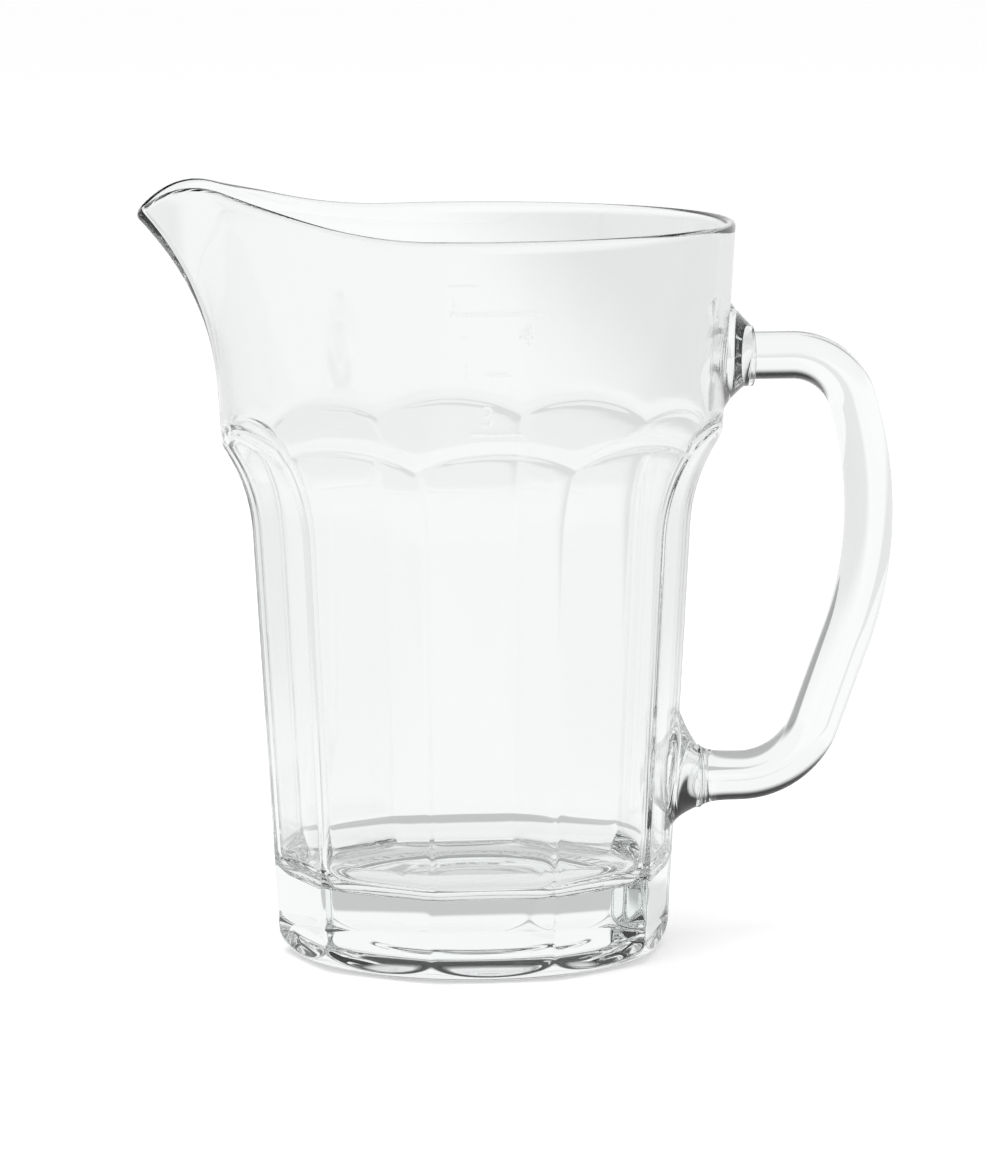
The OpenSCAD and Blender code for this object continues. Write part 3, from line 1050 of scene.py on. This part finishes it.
@dataclass
class Studio:
    """Pale floor, white walls, dark ceiling that hangs lower by the camera, lamps and camera.

    In glass the floor carries painted shade: it is painted a little darker towards the sides, with
    soft ovals of painted shade near the foot and beside the set, which draw the edges of the
    glass.
    """

    floor_size: float = 14000.0
    floor_colour: str = "#f4f4f4"
    floor_glow: float = 0.42
    # Painted levels of the floor in glass: its level in the middle, the painted darker level
    # towards the sides, and where that painted darkening runs.
    floor_seen: float = 1.0
    side_seen: float = 0.82
    side_start: tuple[float, float] = (200.0, 380.0)
    # Ovals of painted shade on the floor, seen only in glass: the pitcher's painted shadow under
    # and behind the foot, a painted shadow by the handle, and painted dark patches to each side.
    painted_shades: tuple[PaintedFloorShade, ...] = (
        PaintedFloorShade(0.0, 0.0, 0.0, 52.0, 52.0, 0.87),
        PaintedFloorShade(118.0, 25.0, 0.0, 62.0, 50.0, 0.5),
        PaintedFloorShade(296.0, 122.0, 22.5, 150.0, 58.0, 0.36),
        PaintedFloorShade(-240.0, 100.0, 157.5, 90.0, 42.0, 0.75),
        PaintedFloorShade(0.0, 43.0, 0.0, 60.0, 13.0, 0.58),
        PaintedFloorShade(5.0, 142.0, 0.0, 110.0, 26.0, 0.58))
    shade_edge: tuple[float, float] = (0.8, 1.15)
    wall_seen: float = 1.0
    sky_light: float = 0.62
    ceiling_start: float = 0.2
    ceiling_full: float = 0.4
    ceiling_slant: float = 0.35
    ceiling_level: float = 0.03
    soft_lamps: tuple[SoftLamp, ...] = (
        SoftLamp("lamp_top", (-300.0, -200.0, 1900.0), 1600.0, 16.0),
        SoftLamp("lamp_left", (-1900.0, -1300.0, 1200.0), 1300.0, 9.0),
        SoftLamp("lamp_right", (1700.0, -1500.0, 1100.0), 1300.0, 7.0))
    lamp_aim: float = 110.0
    view_distance: float = 1751.7
    view_height: float = 353.65
    view_turn: float = -5.6
    view_pitch: float = 7.968
    view_yaw: float = -0.202
    view_roll: float = -0.264
    lens: float = 184.55
    sensor_width: float = 36.0
    view_end: float = 50000.0
    light_bounces: int = 32

    def floor(self) -> Piece:
        """Lay the pale floor that keeps the pitcher's shadow."""
        half = self.floor_size / 2
        floor = make_mesh("studio_floor", np.array([[-half, -half, 0.0], [half, -half, 0.0],
                                                    [half, half, 0.0], [-half, half, 0.0]]),
                          [(0, 1, 2, 3)])
        paint = bpy.data.materials.new("studio_floor_paint")
        tree = bare_tree(paint)
        path = add_node(tree, "ShaderNodeLightPath").outputs
        glow = maths(tree, Op.MULTIPLY, path["Is Camera Ray"], self.floor_glow)
        matte = add_node(tree, "ShaderNodeBsdfDiffuse", {"Color": linear(self.floor_colour)})
        lit = add_node(tree, "ShaderNodeEmission", {"Strength": glow})
        direct = add_node(tree, "ShaderNodeAddShader", {0: matte.outputs[0], 1: lit.outputs[0]})
        # Rays that come by a reflection or through glass see the floor as a glow of painted levels
        # with painted shade, not as its lit colour.
        in_glass = add_node(tree, "ShaderNodeEmission", {"Strength": self.painted_floor_in_glass(tree)})
        both = add_node(tree, "ShaderNodeMixShader",
                        {0: self.glass_ray(tree, path), 1: direct.outputs[0],
                         2: in_glass.outputs[0]})
        add_node(tree, "ShaderNodeOutputMaterial", {"Surface": both.outputs[0]})
        floor.data.materials.append(paint)
        return floor

    def painted_floor_in_glass(self, tree: Tree) -> Socket:
        """Painted brightness of the floor in reflections and through glass, by its place: darker
        towards the sides and under each oval of painted shade.
        """
        place = add_node(tree, "ShaderNodeTexCoord").outputs["Object"]
        spot = add_node(tree, "ShaderNodeVectorMath", {0: place, 1: (AXIS_X * MM, 0.0, 0.0)},
                        operation="SUBTRACT").outputs["Vector"]
        x = add_node(tree, "ShaderNodeSeparateXYZ", {0: spot}).outputs["X"]
        # Painted shade: the floor seen in glass darkens towards the sides.
        level = eased(tree, maths(tree, Op.ABSOLUTE, x),
                      (self.side_start[0] * MM, self.side_start[1] * MM),
                      (self.floor_seen, self.side_seen))
        # Each oval multiplies in its painted shade.
        for shade in self.painted_shades:
            oval = add_node(tree, "ShaderNodeMapping",
                            {"Vector": spot, "Location": (shade.x * MM, shade.y * MM, 0.0),
                             "Rotation": (0.0, 0.0, math.radians(shade.turn)),
                             "Scale": (shade.long * MM, shade.short * MM, 1.0)},
                            vector_type="TEXTURE")
            away = add_node(tree, "ShaderNodeVectorMath", {0: oval.outputs["Vector"]},
                            operation="LENGTH")
            level = maths(tree, Op.MULTIPLY, level, eased(
                tree, away.outputs["Value"], self.shade_edge, (shade.level, 1.0)))
        return level

    @staticmethod
    def glass_ray(tree: Tree, path: Any) -> Socket:
        """Socket that is 1 for rays that come by a reflection or through glass."""
        return maths(tree, Op.MAXIMUM, path["Is Glossy Ray"], path["Is Transmission Ray"])

    def surroundings(self) -> None:
        """Set the white surroundings, the ceiling and the light that they give."""
        world = bpy.data.worlds.new("studio_surroundings")
        bpy.context.scene.world = world
        tree = bare_tree(world)
        path = add_node(tree, "ShaderNodeLightPath").outputs
        way = add_node(tree, "ShaderNodeTexCoord").outputs["Generated"]
        part = add_node(tree, "ShaderNodeSeparateXYZ", {0: way}).outputs
        lean = maths(tree, Op.MULTIPLY_ADD, part["Y"], -self.ceiling_slant, 1.0)
        ceiling = eased(tree, maths(tree, Op.MULTIPLY, part["Z"], lean),
                        (self.ceiling_start, self.ceiling_full),
                        (self.wall_seen, self.ceiling_level))
        given = add_node(tree, "ShaderNodeMix",
                         {"Factor": path["Is Camera Ray"], 2: self.sky_light, 3: 1.0},
                         data_type="FLOAT")
        strength = add_node(tree, "ShaderNodeMix",
                            {"Factor": self.glass_ray(tree, path), 2: given.outputs[0],
                             3: ceiling}, data_type="FLOAT")
        back = add_node(tree, "ShaderNodeBackground",
                        {"Color": (1.0, 1.0, 1.0, 1.0), "Strength": strength.outputs[0]})
        add_node(tree, "ShaderNodeOutputWorld", {"Surface": back.outputs[0]})

    def lamps(self) -> None:
        """Hang one broad soft lamp over the set and a weaker one at each side of the camera."""
        for given in self.soft_lamps:
            data = bpy.data.lights.new(given.name, "AREA")
            data.shape = "SQUARE"
            data.size = given.size * MM
            data.energy = given.power
            lamp = show(given.name, data)
            lamp.visible_glossy = False
            lamp.visible_transmission = False
            spot = Vector(given.place) * MM
            aim = Vector((0.0, 0.0, self.lamp_aim * MM)) - spot
            lamp.matrix_world = Matrix.Translation(spot) @ aim.to_track_quat(
                "-Z", "Y").to_matrix().to_4x4()

    def camera(self) -> None:
        """Set the camera where the photograph was taken from."""
        turn, yaw = math.radians(self.view_turn), math.radians(self.view_yaw)
        pitch, roll = math.radians(self.view_pitch), math.radians(self.view_roll)
        right = Vector((math.cos(yaw), math.sin(yaw), 0.0))
        ahead = Vector((-math.sin(yaw) * math.cos(pitch), math.cos(yaw) * math.cos(pitch),
                        -math.sin(pitch)))
        up = Vector((-math.sin(yaw) * math.sin(pitch), math.cos(yaw) * math.sin(pitch),
                     math.cos(pitch)))
        x_axis = math.cos(roll) * right + math.sin(roll) * up
        y_axis = math.cos(roll) * up - math.sin(roll) * right
        pose = Matrix((x_axis, y_axis, -ahead)).transposed().to_4x4()
        pose.translation = Vector((0.0, -self.view_distance, self.view_height)) * MM
        data = bpy.data.cameras.new("studio_camera")
        data.lens = self.lens
        data.sensor_width = self.sensor_width
        data.clip_end = self.view_end * MM
        camera = show("studio_camera", data)
        aside = Matrix.Translation((AXIS_X * MM, 0.0, 0.0))
        camera.matrix_world = aside @ Matrix.Rotation(turn, 4, "Z") @ pose
        bpy.context.scene.camera = camera

    def build(self) -> None:
        """Set up the whole studio."""
        bpy.context.scene.view_settings.view_transform = "Standard"
        path = bpy.context.scene.cycles
        path.max_bounces = path.transmission_bounces = path.glossy_bounces = self.light_bounces
        self.camera()
        self.floor()
        self.surroundings()
        self.lamps()


# ---- assembly


def dress(piece: Piece, material: bpy.types.Material, node: str) -> None:
    """Give a piece its material in its slot, move it, hang it on its body and hide the CAD node
    that it stands for.

    Args:
        piece: Finished piece.
        material: Its material.
        node: CAD node that the piece replaces.
    """
    piece.data.transform(Matrix.Translation((AXIS_X * MM, 0.0, 0.0)))
    piece.data.materials.clear()
    piece.data.materials.append(material)
    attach(piece, ROOT)
    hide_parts(node)
    LOG.info("%s: %d faces, rides on %s", piece.name, len(piece.data.polygons), ROOT)


def main() -> None:
    """Load the frame and build the pitcher and its studio in order."""
    logging.basicConfig(level=logging.INFO, format="%(name)s: %(message)s")
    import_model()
    studio = Studio()
    studio.build()

    vessel, bar = PitcherBody(), Handle()
    body = vessel.build([
        Boss("upper_boss", bar.top_start, bar.top_height, 9.1, (2.4, 0.0), (17.2, 16.8),
             (1.6, 1.1)),
        Boss("lower_boss", bar.low_start, bar.low_height, 9.5, (1.0, 0.0), (14.6, 20.5),
             (1.7, 1.35))])
    dress(body, ClearPressedGlass().material(), "body")

    rod = ClearGlassRod().material()
    handle = bar.build(rod)
    dress(handle, rod, "handle")

    ink = FiredPrint().material()
    marks = MeasurePrint()
    dress(marks.build_lines(vessel, ink), ink, "fill_marks")
    for digit, along, foot in marks.numbers:
        dress(marks.build_number(vessel, digit, along, foot, ink), ink,
              "fill_marks")


if __name__ == "__main__":
    main()
